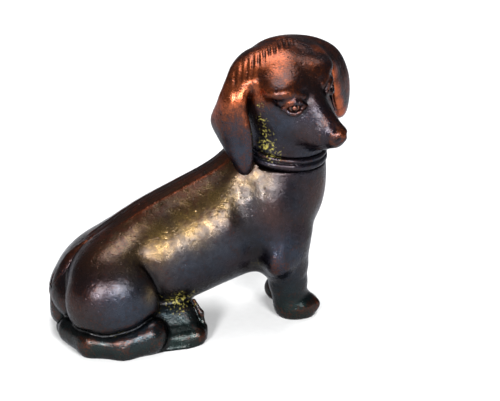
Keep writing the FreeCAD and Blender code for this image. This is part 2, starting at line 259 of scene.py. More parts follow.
KNUCKLES = ((19.6, 6.7, 2.6, 1.4), (21.6, 5.6, 2.4, 1.4), (21.6, 3.7, 2.3, 1.4), (19.8, 2.2, 2.3, 1.3))
LEFT_LEAD, LEFT_PAW_LEAD = 2.6, -0.2   # the left foreleg and its paw stand this much further forward


# %% Creases and lines
def bell(v, width):
    """exp(-(v / width)^2): 1 in the middle, almost 0 two widths away."""
    return np.exp(-((v / width) ** 2))


def line_to(p, path):
    """Distance to a thin line through points."""
    return limb(p, [(*point[:3], 0.0) for point in path])


# %% Quarters
def hind_quarter(p, flank):
    """Haunch, shank and paw against the flank. A bell curve of two distances deepens each crease."""
    left = ramp(p[3], -1.5, 1.5)
    q = [p[0] - LEFT_HAUNCH_SET[0] * left, p[1], p[2] - LEFT_HAUNCH_SET[1] * left]
    haunch = oval(q, *HAUNCH)
    height = q[2] - 0.35 * (q[0] + 19)
    crease = 0.55 * bell(flank - haunch, 1.3) * (1 - ramp(height, 12, 19)) * ramp(p[1], 5, 8)
    body = join(flank, haunch, 0.6 + 7.0 * ramp(height, 14.0, 21.5)) + crease
    shank = limb(p, SHANK)
    body = join(body, shank, 0.6) + 0.4 * bell(shank - haunch, 0.8) * ramp(p[1], 8, 11)
    wedge = None
    for normal, reach in PAW_WEDGE:
        side = normal[0] * p[0] + normal[1] * p[1] + normal[2] * p[2] - reach
        wedge = side if wedge is None else meet(wedge, side, 2.6)
    wedge = join(wedge, limb(p, TOE_ROLL), 1.2)
    wedge = join(wedge, limb(p, FLASH), 0.5)
    return join(body, wedge, 1.0)


def fore_quarter(p, body):
    """Shoulder, elbow, leg and paw, with the fold behind the elbow pressed in last."""
    body = join(body, oval(p, *SHOULDER, turned("y", -12.0)), 3.5)
    body = join(body, oval(p, *ELBOW), 1.8)
    left = ramp(p[3], -1.5, 1.5)
    lead = [p[0] - LEFT_LEAD * left, p[1], p[2]]
    paw_lead = [p[0] - LEFT_PAW_LEAD * left, p[1], p[2]]
    leg = join(limb(lead, FORELEG), oval(paw_lead, *FORE_PAW), 1.6)
    for x, y, z, r in KNUCKLES:
        leg = join(leg, oval(paw_lead, (x, y, z), (r * 1.5, r, r * 1.1)), 0.5)
    return join(body, leg, 1.8) + 1.5 * bell(line_to(p, FOLD), 2.4)


# %% The body's mass
BODY_LOW, BODY_HIGH = (-33.0, -18.6, -1.2), (28.0, 18.6, 39.0)
x, y, z = grid_points(BODY_LOW, BODY_HIGH, FINE)
outward = np.abs(y)
trunk = trunk_mass((x, y, z))
trunk = join(trunk, oval((x, y, z), *HEEL_FILL), 1.5)
body = hind_quarter((x, outward, z, y), trunk)
body = fore_quarter((x, outward, z, y), body)
print("body grid:", body.shape)

# %% [markdown]
# Along the spine runs a flat band with a thin raised line on each side, chased after casting.
# The trunk, legs and paws were cast hollow. The hollow keeps a wall of 2.4 mm, stops below the neck joint,
# and widens into the room for the slug. The recess under it takes the plate and the felt.
# Where the collar sits the neck is turned down, so the collar's beads stand proud of it.

# %% Spine lines, hollow and joints
WALL = 2.4
SPINE_LINE = [(bx, 2.7, bz + 0.2) for bx, bz, *_ in TRUNK[1:]]
COLLAR_ROOM = 1.55                     # half height of the turned-down ring on the neck
COLLAR_SEAT, COLLAR_REACH = 7.5, 9.0   # its radius, and how far out the collar reaches
NECK_FLOOR = 3.2                       # the hollow stops this far below the neck joint
STUD_HOLE = 1.55                       # radius of the hole for the stud
STUD_DOWN, STUD_UP = 9.0, 7.05         # how far the hole runs below the joint and above it
EDGE_SOFT = 0.25                       # softness of the turned-down ring's edges
PLATE_RADII, PLATE_TOP = (11.05, 10.65), 2.42
SLUG_ROOM, SLUG_TOP = (8.2, 6.2), 12.4


def neck_places(p):
    """Height over the neck joint along the neck's axis, and distance from that axis."""
    q = [a - np.float32(c) for a, c in zip(p, NECK)]
    up = q[0] * NECK_AXIS[0] + q[1] * NECK_AXIS[1] + q[2] * NECK_AXIS[2]
    return up, np.sqrt(sum((a - up * n) ** 2 for a, n in zip(q, NECK_AXIS)))


def collar_ring_room(up, off):
    """The ring outside the neck's turned-down part, as far out as the collar reaches."""
    return np.maximum(np.maximum(np.abs(up) - COLLAR_ROOM, COLLAR_SEAT - off), off - COLLAR_REACH)


def plug(p, radii, top):
    """An upright elliptical plug from under the ground to a height."""
    k = np.sqrt(((p[0] - SEAT_DRAWN[0]) / radii[0]) ** 2 + (p[1] / radii[1]) ** 2)
    return np.maximum((k - 1) * min(radii), p[2] - top)


# %% The cast body
joint_up, joint_off = neck_places((x, y, z))
body = body - 0.12 * bell(line_to((x, outward, z), SPINE_LINE), 0.5)
solid_body = carve(body, collar_ring_room(joint_up, joint_off), EDGE_SOFT)
hollow = np.maximum(body + WALL, np.maximum(joint_up + NECK_FLOOR, PLATE_TOP + WALL - z))
room = np.minimum(plug((x, y, z), SLUG_ROOM, SLUG_TOP), plug((x, y, z), PLATE_RADII, PLATE_TOP))
room = np.minimum(room, np.maximum(joint_off - STUD_HOLE, -joint_up - STUD_DOWN))
inside = np.minimum(hollow, room)
cast_body = np.maximum(np.maximum(solid_body, -inside), np.maximum(joint_up, -z))
print("metal of the body, cubic mm:", round(float((cast_body < 0).sum()) * FINE**3))

# %% [markdown]
# The tail is a casting of its own that hugs the rump. Down the back it's a flat-backed band, and on the
# ground it turns round to the left side. It's let 1.2 mm into the rump and held there by a peg.

# %% Tail
TAIL = ((-21.6, 0.0, 18.6, 1.1), (-25.4, 0.0, 14.9, 2.0), (-27.6, 0.0, 10.0, 2.3), (-27.9, 0.2, 5.4, 2.4),
        (-27.4, 3.0, 2.6, 2.2), (-25.6, 8.2, 2.0, 2.0), (-23.2, 13.0, 1.7, 1.7))
TAIL_LET = 1.2                         # how deep the tail is let into the rump
FIT_GAP = 0.04                         # gap that is left where one piece sits in another
TAIL_PEG = ((-28.6, 0.0, 10.1, 1.1), (-23.4, 0.0, 9.4, 1.1))
bar = limb((x, y, z), along(TAIL, 19))
tail = np.minimum(np.maximum(bar, -body - TAIL_LET), limb((x, y, z), TAIL_PEG))
cast_body = np.maximum(cast_body, FIT_GAP - tail)
tail = np.maximum(tail, -z)
body_near = join(body, bar, 0.3) + 0.3 * bell(body - bar, 0.5)

# %% [markdown]
# The grid's zero level becomes a mesh. Each casting has to be closed, with its faces outward, and each
# vertex keeps how proud it stands: the distance blurred over 0.6 mm, which is above zero on a ridge and
# below zero in a crease. Patina wears off what is proud and gathers in what is hollow, so the
# finishes read that number later.

# %% Smoothing and reading a grid
WEAR_BLUR = 0.6                        # mm over which a ridge is told from a crease
WEAR_REACH = 3                         # mm from the skin past which the distance is cut off


def blurred(field, passes):
    """Mean of each point and its two neighbours on every axis, repeated."""
    f = field
    for _ in range(passes):
        for axis in range(3):
            f = (np.roll(f, 1, axis) + f + np.roll(f, -1, axis)) / np.float32(3)
    return f


def wear_passes(step):
    """How many passes blur a grid of this step over WEAR_BLUR: the passes grow with its square."""
    return round(1.5 * (WEAR_BLUR / step) ** 2)


def sampled(field, low, step, points):
    """Values between grid points, by weights on the eight corners round each place."""
    g = (points - np.array(low)) / step
    i = np.clip(g.astype(int), 0, np.array(field.shape) - 2)
    t = g - i
    out = np.zeros(len(points))
    for corner in np.ndindex(2, 2, 2):
        w = np.prod(np.where(corner, t, 1 - t), axis=1)
        out += w * field[i[:, 0] + corner[0], i[:, 1] + corner[1], i[:, 2] + corner[2]]
    return out


print("passes of blur on body and head:", wear_passes(FINE), wear_passes(FINE_HEAD))

# %% From distance to mesh
LEVEL_REACH = 2.0                      # mm from the skin past which a casting's distances are cut off


def volume(points, quads):
    """Signed volume: the sum of a . (b x c) / 6 over the triangles."""
    total = 0.0
    for i, j, k in ((0, 1, 2), (0, 2, 3)):
        a, b, c = (points[quads[:, n]] for n in (i, j, k))
        total += float(np.einsum("ij,ij->", a, np.cross(b, c))) / 6
    return total


def largest(points, quads):
    """The biggest connected surface: each vertex takes its faces' lowest label until none changes."""
    label = np.arange(len(points))
    while True:
        lowest = label.copy()
        np.minimum.at(lowest, quads.ravel(), np.repeat(label[quads].min(axis=1), 4))
        lowest = lowest[lowest]
        if np.array_equal(lowest, label):
            break
        label = lowest
    kept = label[quads[:, 0]] == np.bincount(label[quads[:, 0]]).argmax()
    used, quads = np.unique(quads[kept], return_inverse=True)
    return points[used], quads.reshape(-1, 4)


def casting(name, field, low, step, whole):
    """The zero level of a field as a smooth mesh object, with its wear number "rise" on the vertices."""
    grid = openvdb.FloatGrid(LEVEL_REACH)
    grid.copyFromArray(np.clip(field, -LEVEL_REACH, LEVEL_REACH))
    points, quads = grid.convertToQuads(0.0)
    points, quads = points.astype(float) * step + np.array(low), quads.astype(int)
    points, quads = largest(points, quads)
    size = volume(points, quads)
    quads = quads[:, ::-1] if size < 0 else quads
    mesh = bpy.data.meshes.new(name)
    mesh.from_pydata(((points + SHIFT) * MM).tolist(), [], quads.tolist())
    mesh.polygons.foreach_set("use_smooth", np.ones(len(quads), dtype=bool))
    piece = bpy.data.objects.new(name, mesh)
    bpy.context.scene.collection.objects.link(piece)
    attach(piece, "root")
    number(piece, "rise", sampled(whole, low, step, points))
    print(f"{name}: {len(quads)} faces, {abs(size):.0f} cubic mm")
    return piece


def number(piece, name, values):
    """One number on every vertex, for the finishes to read."""
    layer = piece.data.attributes.new(name, "FLOAT", "POINT")
    layer.data.foreach_set("value", np.asarray(values, dtype=np.float32))


def places(piece):
    """A piece's vertices in the drawing's mm."""
    flat = np.empty(3 * len(piece.data.vertices))
    piece.data.vertices.foreach_get("co", flat)
    return flat.reshape(-1, 3) / MM - SHIFT


# %% [markdown]
# Two castings that meet are fitted so well that no gap shows. Each one runs 0.25 mm past the seam, sunk a
# hair under its neighbour, so the sharp cut edge of the mesh stays out of sight.

# %% Body and tail pieces
LAP = 0.25                             # how far a casting runs past its seam


def lapped(field, seam):
    """A casting where seam < 0: past it the skin drops by FIT_GAP, and stops after LAP."""
    return np.maximum(field + FIT_GAP * ramp(seam, -0.05, 0.1), seam - LAP)


body_soft = blurred(np.clip(body_near, -WEAR_REACH, WEAR_REACH), wear_passes(FINE))
right_shell = casting("cast_right_shell", lapped(cast_body, y), BODY_LOW, FINE, body_soft)
left_shell = casting("cast_left_shell", lapped(cast_body, -y), BODY_LOW, FINE, body_soft)
tail_piece = casting("cast_tail", tail, BODY_LOW, FINE, body_soft)
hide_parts("body_right_shell")
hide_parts("body_left_shell")
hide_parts("tail")

# %% [markdown]
# The head is modelled square on its own axes: a round skull, full cheeks, a muzzle that tapers straight to
# a small nose, and a brow over each eye. Each ear is a leaf of clay: rows of thick balls from its root
# on the crown to its tip by the collar. The eyes are beads set between two lids.
# Under the jaw a roll of skin meets the collar.

# %% Head
SKULL = ((-1.2, 0.0, 0.8), (9.4, 9.0, 8.0))
CHEEKS = ((1.6, 0.0, -3.6), (7.8, 7.6, 6.8))
MUZZLE = ((3.0, 0.0, -3.4, 6.2), (7.3, 0.0, -4.3, 5.0), (10.2, 0.0, -5.0, 3.8), (13.1, 0.0, -4.9, 2.5))
BRIDGE = ((5.4, 0.0, 2.4, 2.6), (7.4, 0.0, 0.5, 2.5), (10.6, 0.0, -2.3, 1.9), (13.8, 0.0, -4.0, 1.4))
NOSE = ((14.6, 0.0, -4.2), (1.4, 1.7, 1.3))
NOSTRIL = ((15.5, 1.0, -4.2), (15.2, 1.6, -4.7))
MOUTH = ((15.2, 0.6, -5.3), (13.6, 1.9, -6.0), (10.8, 3.4, -6.9), (8.2, 4.8, -7.2))
BROW = ((4.5, 4.6, 4.7), (3.2, 4.0, 1.9))
EYE, EYE_RADIUS = np.array([7.1, 4.75, 1.5]), 1.3
EYE_OUT = np.array([0.84, 0.50, 0.20])
RING_DEPTH, RING_RADIUS = 0.2, 0.62    # the ring cut round the pupil
SHANK_HALF = 2.0                       # half the length of the bead's shank
UPPER_LID = ((0.6, 2.0, -0.1), (1.1, 1.0, 0.95), (1.25, 0.0, 1.3), (1.05, -1.0, 1.05), (0.5, -2.1, 0.1))
LOWER_LID = ((0.6, 2.0, -0.1), (1.05, 1.0, -0.9), (1.1, 0.0, -1.2), (0.9, -1.0, -0.9), (0.5, -2.1, 0.1))
LID_FOLD = ((0.1, 1.9, 1.7), (0.4, 0.6, 2.2), (0.2, -0.9, 2.1), (-0.4, -2.3, 1.3))
RIGHT_EAR = (  # each row: rear, middle, front
    ((-6.0, -2.6, 5.2), (-4.0, -3.2, 6.0), (-1.6, -3.4, 6.3)),
    ((-5.9, -6.9, 4.8), (-3.9, -7.2, 5.3), (-1.6, -6.8, 4.6)),
    ((-5.2, -10.8, 2.2), (-2.6, -11.2, 2.6), (-1.0, -9.8, 2.2)),
    ((-7.3, -11.4, -3.4), (-2.9, -12.8, -2.6), (0.8, -10.8, -2.4)),
    ((-6.2, -11.4, -6.2), (-1.8, -12.6, -6.6), (1.3, -10.9, -6.2)),
    ((-2.0, -12.3, -8.8), (-0.1, -12.2, -9.6), (1.4, -11.2, -9.8)),
    ((0.2, -11.8, -12.4), (0.5, -11.7, -12.6), (0.8, -11.5, -12.6)),
)
LEFT_EAR = (
    ((-6.6, 2.6, 5.4), (-3.8, 4.8, 6.4), (-0.6, 5.6, 6.2)),
    ((-6.2, 7.6, 5.6), (-2.0, 10.6, 5.5), (1.8, 8.4, 4.9)),
    ((-5.4, 12.0, 3.4), (0.4, 15.0, 2.4), (4.3, 9.6, 2.4)),
    ((-5.2, 12.2, -2.4), (2.4, 15.7, -1.8), (5.2, 9.7, -2.0)),
    ((-4.0, 12.0, -7.0), (2.9, 15.5, -6.0), (5.2, 10.4, -5.6)),
    ((-1.6, 12.2, -10.2), (2.8, 14.8, -9.2), (4.9, 11.8, -8.4)),
    ((1.0, 12.8, -11.6), (2.6, 13.6, -11.0), (4.0, 12.8, -10.2)),
)
EAR_HALF = (1.1, 1.2, 1.25, 1.3, 1.25, 1.05, 0.75)   # half thickness at each row
CHASING = ((-1.9, 3.8, 8.3), (-1.6, -0.9, 8.8), (-1.9, -4.4, 7.9),
           (-2.5, -6.8, 6.4), (-3.2, -8.8, 4.9), (-4.4, -10.6, 2.0))
STROKE_DEPTH, STROKE_SPACING = 0.3, 1.1


# %% Ears and eyes as masses
LEAF_SOFT = 0.5                        # softness of the sum over an ear's balls
LEAF_SWELL = 1.3                       # how far that sum stands out past the balls, taken off again
LEAF_FAR = 3.2                         # the distance given everywhere away from the ear


def head_space(p):
    """The head's own forward, left and up for points in the drawing."""
    q = [p[i] - HEAD[i] for i in range(3)]
    return [HEAD_TURN[0, i] * q[0] + HEAD_TURN[1, i] * q[1] + HEAD_TURN[2, i] * q[2] for i in range(3)]


def leaf_mass(p, rows):
    """An ear: balls over a curved leaf, summed softly as -k log(sum of exp(-d / k)), near the leaf only."""
    rows = np.array(rows, dtype=float)
    thick = np.array(EAR_HALF)[:, None]
    down = np.stack([along(np.hstack([rows[:, i], thick]), 34) for i in range(3)], axis=1)
    balls = np.concatenate([along(row, 15) for row in down]).astype(np.float32)
    low, high = balls[:, :3].min(axis=0) - 4.5, balls[:, :3].max(axis=0) + 4.5
    near = np.all([(p[i] > low[i]) & (p[i] < high[i]) for i in range(3)], axis=0)
    q = [a[near] for a in p]
    total = np.zeros_like(q[0])
    for f, l, u, r in balls:
        d = np.sqrt((q[0] - f) ** 2 + (q[1] - l) ** 2 + (q[2] - u) ** 2) - r
        total += np.exp(-np.clip(d, -3, 12) / LEAF_SOFT)
    whole = np.full(p[0].shape, LEAF_FAR, dtype=np.float32)
    whole[near] = np.minimum(-LEAF_SOFT * np.log(total + 1e-9) + LEAF_SWELL, LEAF_FAR)
    return whole


def eye_frame():
    """Unit directions at the left eye: outward, toward the nose, and up along the lid."""
    out = EYE_OUT / np.linalg.norm(EYE_OUT)
    nose = np.cross(out, (0.0, 0.0, 1.0))
    nose = nose / np.linalg.norm(nose)
    return out, nose, np.cross(nose, out)


def lid(path, radius):
    """A lid's bar: its points given as (out, toward the nose, up) from the eye's middle."""
    out, nose, up = eye_frame()
    return [(*(EYE + a * out + b * nose + c * up), radius) for a, b, c in path]


def eye_mass(p, centre, aim, ring_soft, shank_radius):
    """A ball with a ring pressed in round the pupil, on a round shank 4 mm long behind it."""
    q = [a - np.float32(c) for a, c in zip(p, centre)]
    deep = q[0] * aim[0] + q[1] * aim[1] + q[2] * aim[2]
    off = np.sqrt(np.maximum(q[0] ** 2 + q[1] ** 2 + q[2] ** 2 - deep**2, 0))
    ring = RING_DEPTH * bell(off - RING_RADIUS, ring_soft) * (deep > 0)
    bead = np.sqrt(deep**2 + off**2) - EYE_RADIUS + ring
    return np.minimum(bead, np.maximum(off - shank_radius, np.abs(deep + SHANK_HALF) - SHANK_HALF))


# %% The head's mass
def face_mass(p):
    """Skull, cheeks, muzzle and brows, with sockets, lids, nostrils and mouth worked in."""
    f, w, u = p
    face = join(oval(p, *SKULL), oval(p, *CHEEKS), 3.0)
    face = join(face, limb(p, MUZZLE), 2.5)
    face = join(face, limb(p, BRIDGE), 1.8)
    face = join(face, oval(p, *NOSE), 0.9)
    face = join(face, oval(p, *BROW), 2.4)
    out, nose, up = eye_frame()
    face = carve(face, oval(p, EYE + 1.4 * out, (1.6, 1.6, 1.2)), 1.0)
    face = join(face, limb(p, lid(LID_FOLD, 0.7)), 0.9)
    face = join(face, limb(p, lid(UPPER_LID, 0.42)), 0.6)
    face = join(face, limb(p, lid(LOWER_LID, 0.34)), 0.5)
    face = face + 0.45 * bell(line_to(p, NOSTRIL), 0.4) + 0.14 * bell(line_to(p, MOUTH), 0.4)
    return face


# %% Head and ears on their grid
HEAD_LOW, HEAD_HIGH = (-0.5, -20.5, 30.0), (33.5, 17.0, 61.0)
hx, hy, hz = grid_points(HEAD_LOW, HEAD_HIGH, FINE_HEAD)
f, l, u = (q.astype(np.float32) for q in head_space((hx, hy, hz)))
w = np.abs(l)
face = face_mass((f, w, u))
ear_up, ear_off = neck_places((hx, hy, hz))
THROAT = ((-3.0, 7.7), (1.2, 7.7), (3.4, 8.2), (8.0, 7.8))   # height over the neck joint, radius
throat = limb((hx, hy, hz), [(*(NECK + NECK_AXIS * h), r) for h, r in THROAT])
face = join(face, throat, 1.6)
right_ear = leaf_mass((f, l, u), RIGHT_EAR)
left_ear = leaf_mass((f, l, u), LEFT_EAR)
print("head grid:", face.shape)

# %% [markdown]
# The ear grows out of the crown without a step, but stands clear of the cheek lower down, so the joint is
# soft above and sharp below. A row of short chased strokes runs over the crown and down the right ear.
# The seam between ear and head lies in the crease, where both distances are the same.

# %% Ears on the head
EYE_GAP = 0.03                         # room round the bead in its socket
SEAM_SLOPE = 0.7                       # turns a difference of distances into about the way to the seam
both_ears = np.minimum(right_ear, left_ear)
low_down = 1 - ramp(u, 1.6, 6.4)
figure = join(face, both_ears, 3.4 - 2.8 * low_down) + 0.35 * bell(face - both_ears, 0.7) * low_down
strokes = bell(line_to((f, l, u), CHASING), 1.3)
run_along = 0.75 * l + 0.75 * f - 0.2 * u
wave = 0.5 + 0.5 * np.sin(run_along * (2 * math.pi / STROKE_SPACING))
figure = figure + STROKE_DEPTH * strokes * wave
stud_room = np.maximum(ear_off - STUD_HOLE, ear_up - STUD_UP)
head_field = carve(figure, collar_ring_room(ear_up, ear_off), EDGE_SOFT)
head_field = np.maximum(head_field, np.maximum(-stud_room, np.where(both_ears < face, -9.0, -ear_up)))
out, nose, up = eye_frame()
eyes = {}
for name, side in (("right", -1), ("left", 1)):
    eyes[name] = eye_mass((f, l, u), EYE * (1, side, 1), out * (1, side, 1), 0.2, 0.6)
head_only = np.maximum(head_field, -np.minimum(eyes["left"], eyes["right"]) + EYE_GAP)
head_soft = blurred(np.clip(figure, -WEAR_REACH, WEAR_REACH), wear_passes(FINE_HEAD))


def head_casting(name, mass, others):
    """The part of the head that lies nearer to one mass than to the others, as a lapped casting."""
    return casting(name, lapped(head_only, (mass - others) * SEAM_SLOPE), HEAD_LOW, FINE_HEAD, head_soft)


head_piece = head_casting("cast_head", face, both_ears)
right_ear_piece = head_casting("cast_right_ear", right_ear, np.minimum(face, left_ear))
left_ear_piece = head_casting("cast_left_ear", left_ear, np.minimum(face, right_ear))
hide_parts("head_casting")
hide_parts("right_ear")
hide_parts("left_ear")

# %% [markdown]
# Each eye is a small bead on a shank, with a ring cut round the pupil. A grid of its own, finer than the
# head's, keeps that ring round. The shank is a hair thinner here than its hole in the head.

# %% Eyes
EYE_STEP = 0.06
for name, side in (("right", -1), ("left", 1)):
    centre = HEAD_TURN @ (EYE * (1, side, 1)) + HEAD
    aim = HEAD_TURN @ (out * (1, side, 1))
    low = centre - 5.2
    eye = eye_mass(grid_points(low, centre + 2.0, EYE_STEP), centre, aim, 0.17, 0.57)
    piece = casting("eye_bead_" + name, eye, low, EYE_STEP, blurred(np.clip(eye, -1, 1), 4))
    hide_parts(name + "_eye")

# %% [markdown]
# The collar is a ring with two round beads, the upper one thinner, drawn on its own grid.

# %% Collar
COLLAR_STEP = 0.13
low = NECK - (10.4, 10.4, 3.4)
q = grid_points(low, NECK + (10.4, 10.4, 3.4), COLLAR_STEP)
ring_up, ring_off = neck_places(q)
upper = np.hypot(ring_off - 8.1, ring_up - 0.85) - 0.5
lower = np.hypot(ring_off - 8.0, ring_up + 0.42) - 0.82
band = np.maximum(np.abs(ring_off - 7.85) - 0.35, np.abs(ring_up) - 1.4)
ring = join(join(upper, lower, 0.12), band, 0.1)
collar_piece = casting("collar_ring", ring, low, COLLAR_STEP, blurred(np.clip(ring, -1, 1), 6))
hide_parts("collar")

# %% [markdown]
# Where a finish shows is worked out on the vertices, as a place on the figure: copper where hands have
# rubbed the crown, brows, nose and ear edges, an olive tone on the flank that is partly a painted golden
# highlight where the front light falls, red-brown along the back and chest, violet-grey on haunch, belly and
# jaw, and yellow-green verdigris in the hollows that no cloth reaches.
# Each place is a ball with a soft edge: (x, y, z, radius, strength), and the strongest ball wins.
# On the head the three places are forward, left and up from its middle.

# %% Places of the finishes on the head
COPPER_FACE = (
    (-1.0, -2.0, 9.0, 6.5, 0.8), (1.0, -4.0, 7.6, 4.5, 0.72), (-3.0, -7.0, 6.5, 5.0, 0.86),
    (-4.5, -11.0, 2.5, 4.6, 0.86), (-6.5, -12.5, -0.5, 3.6, 0.72), (-0.8, -9.6, 3.2, 2.4, 0.95),
    (1.8, -11.2, -0.8, 1.3, 0.6), (2.0, -7.8, 4.2, 3.0, 0.84), (5.4, -4.6, 4.8, 2.2, 1.0),
    (6.6, -5.6, 3.0, 1.2, 0.8), (4.6, 2.5, 5.2, 2.8, 0.74), (6.4, 5.0, 3.8, 1.6, 0.7),
    (15.4, 0.0, -3.4, 1.5, 0.38), (12.0, 0.8, -2.4, 1.6, 0.5),
    (2.5, 8.2, 5.4, 2.2, 1.0), (4.8, 9.3, 1.8, 2.2, 1.1), (5.8, 9.4, -2.5, 2.0, 1.1),
    (5.8, 10.2, -6.0, 2.0, 1.05), (5.2, 12.0, -9.0, 2.0, 0.95), (1.0, 11.5, 6.0, 3.2, 0.35),
    (3.5, 15.5, -4.0, 4.5, 0.4), (-6.0, 4.0, 6.0, 6.0, 0.7), (-5.0, 12.0, 2.5, 5.0, 0.8),
)
VERDIGRIS_FACE = (
    (2.0, -9.0, 1.4, 2.0, 0.7), (2.6, -9.2, -1.6, 2.4, 0.9), (3.0, -8.8, -4.6, 2.8, 0.95),
    (3.2, -8.4, -7.8, 3.0, 1.0), (4.0, -7.0, -9.6, 3.4, 0.8), (3.6, 7.6, -4.0, 3.0, 0.8),
    (10.4, 3.4, -6.9, 1.4, 0.3),
)
BROWN_FACE = (
    (-1.0, 0.0, 8.0, 7.5, 0.9), (4.0, 0.0, 5.0, 5.0, 0.8), (-4.0, -9.0, 4.0, 6.0, 0.9),
    (-4.0, 10.0, 3.0, 7.0, 0.8), (9.0, -3.0, -4.5, 3.0, 0.5),
)
VIOLET_FACE = (
    (0.0, -11.0, -8.0, 5.5, 0.8), (5.5, -6.0, -2.5, 3.5, 0.9),
    (3.0, 15.0, -3.0, 5.0, 0.7), (7.0, 0.0, -9.0, 5.0, 0.5),
)
FACE_ZONES = (("verdigris", VERDIGRIS_FACE), ("brown", BROWN_FACE), ("violet", VIOLET_FACE), ("olive_and_painted_sheen", ()))
print("places on the head:", len(COPPER_FACE) + sum(len(balls) for _, balls in FACE_ZONES))

# %% Places of the finishes on the body
# Olive tone and painted golden highlight: these balls sit where the front softbox's highlight falls on flank
# and haunch.
OLIVE_AND_PAINTED_SHEEN_BODY = (
    (-10.0, -9.0, 22.0, 4.5, 0.9), (-4.0, -9.0, 25.0, 5.0, 0.95), (2.0, -8.0, 29.0, 5.0, 0.85),
    (-12.6, -14.0, 13.0, 2.2, 0.6), (-15.0, -12.0, 20.0, 4.5, 0.5), (9.0, -7.0, 31.0, 4.0, 0.6),
    (-5.0, -5.0, 26.0, 8.0, 0.42), (-15.0, -7.0, 21.0, 8.0, 0.42), (5.0, -5.0, 31.0, 6.0, 0.42),
    (-9.0, 10.0, 20.0, 6.0, 0.8), (-1.0, 9.0, 24.5, 6.0, 0.8), (-18.0, 14.0, 13.0, 5.0, 0.6),
)
COPPER_BODY = (
    (24.5, -3.0, 27.0, 5.0, 0.36), (-25.5, -8.0, 13.0, 3.6, 0.36), (-2.0, 0.0, 30.0, 6.0, 0.4),
    (-12.0, 0.0, 26.0, 6.0, 0.42), (-20.0, -2.0, 20.5, 6.0, 0.46), (5.0, 0.0, 34.0, 5.0, 0.4),
    (22.0, -6.0, 3.0, 2.0, 0.2),
)
BROWN_BODY = (
    (-25.0, -9.0, 12.0, 4.6, 0.9), (-22.0, -6.0, 18.0, 6.0, 0.9), (-14.0, -4.0, 24.5, 6.0, 0.9),
    (-4.0, -4.0, 29.0, 6.0, 0.8), (5.0, -3.0, 34.0, 5.0, 0.7), (24.0, -3.0, 26.0, 6.0, 0.8),
    (12.0, -9.0, 25.0, 3.0, 0.5), (-25.0, 9.0, 12.0, 4.6, 0.9), (-22.0, 6.0, 18.0, 6.0, 0.9),
    (-14.0, 4.0, 24.5, 6.0, 0.9), (-4.0, 4.0, 29.0, 6.0, 0.8), (24.0, 3.0, 26.0, 6.0, 0.8),
)
VIOLET_BODY = (
    (-18.0, -16.0, 11.0, 6.0, 0.9), (-6.0, -12.0, 17.5, 4.0, 0.9), (1.0, -11.0, 20.5, 4.5, 0.8),
    (8.0, -9.0, 28.0, 4.0, 0.8), (14.0, -12.0, 17.0, 4.0, 0.8), (-18.0, 16.0, 11.0, 6.0, 0.9),
    (-4.0, 12.0, 18.0, 5.0, 0.9), (14.0, 12.0, 17.0, 5.0, 0.8),
)
VERDIGRIS_BODY = (
    (-6.5, -10.5, 8.4, 3.4, 0.95), (-9.5, -12.5, 8.4, 3.0, 0.8), (-3.0, -9.0, 8.4, 2.6, 0.8),
    (9.6, -9.0, 12.5, 2.4, 0.7),
    (6.5, -8.5, 32.5, 2.5, 0.5), (-20.0, -15.8, 5.0, 3.0, 0.4), (-5.5, 11.5, 6.0, 4.2, 0.9),
    (9.6, 9.0, 12.5, 2.4, 0.6),
)
BODY_ZONES = (("verdigris", VERDIGRIS_BODY), ("brown", BROWN_BODY),
              ("violet", VIOLET_BODY), ("olive_and_painted_sheen", OLIVE_AND_PAINTED_SHEEN_BODY))
print("places on the body:", len(COPPER_BODY) + sum(len(balls) for _, balls in BODY_ZONES))


# %% Where each finish shows
SPINE_RUBBED, SPINE_WIDTH = 0.42, 0.9  # how far the raised lines are rubbed, and how wide
COLLAR_RUBBED = 0.4                    # the collar's share of the head's copper


def spots(points, balls):
    """The strongest of strength x exp(-(distance / radius)^2) over the balls."""
    best = np.zeros(len(points))
    for x0, y0, z0, radius, strength in balls:
        d = np.linalg.norm(points - (x0, y0, z0), axis=1)
        best = np.maximum(best, strength * bell(d, radius))
    return best


BODY_PIECES = (right_shell, left_shell, tail_piece)
HEAD_PIECES = (head_piece, right_ear_piece, left_ear_piece, collar_piece)
for piece in BODY_PIECES:
    at = places(piece)
    spine = line_to([at[:, 0], np.abs(at[:, 1]), at[:, 2]], SPINE_LINE)
    number(piece, "copper", np.maximum(spots(at, COPPER_BODY), SPINE_RUBBED * bell(spine, SPINE_WIDTH)))
    for name, balls in BODY_ZONES:
        number(piece, name, spots(at, balls))
for piece in HEAD_PIECES:
    at = np.stack(head_space(places(piece).T), axis=1)
    number(piece, "copper", spots(at, COPPER_FACE) * (COLLAR_RUBBED if piece is collar_piece else 1.0))
    for name, balls in FACE_ZONES:
        number(piece, name, spots(at, balls))
print("pieces with patina:", len(BODY_PIECES) + len(HEAD_PIECES))

# %% [markdown]
# One function turns an sRGB hex colour to linear, one adds a shader node with its settings and links, and
# one feeds the finished values to the Principled shader: a number that is the same everywhere is set there.
# Pattern scales are worked out from real sizes: a noise of scale 1 has features about one unit apart, and
# the unit is a metre, so a 2 mm mottle is a scale of 500.

# %% Shader tools
def colour(hex_code):
    """sRGB hex to linear: c / 12.92 below 0.04045, else ((c + 0.055) / 1.055) ^ 2.4."""
    c = np.array([int(hex_code[i:i + 2], 16) for i in (1, 3, 5)]) / 255
    c = np.where(c <= 0.04045, c / 12.92, ((c + 0.055) / 1.055) ** 2.4)
    return (*(float(v) for v in c), 1.0)


def per_mm(size):
    """The scale of a pattern whose features are this many mm apart."""
    return 1000.0 / size


def add(tree, kind, links=None, out=0, **settings):
    """Adds one node: its settings, and each input's value or the socket that feeds it. Gives an output."""
    node = tree.nodes.new("ShaderNode" + kind)
    for key, value in settings.items():
        setattr(node, key, value)
    for key, value in (links or {}).items():
        if isinstance(value, bpy.types.NodeSocket):
            tree.links.new(value, node.inputs[key])
        else:
            node.inputs[key].default_value = value
    return node.outputs[out]


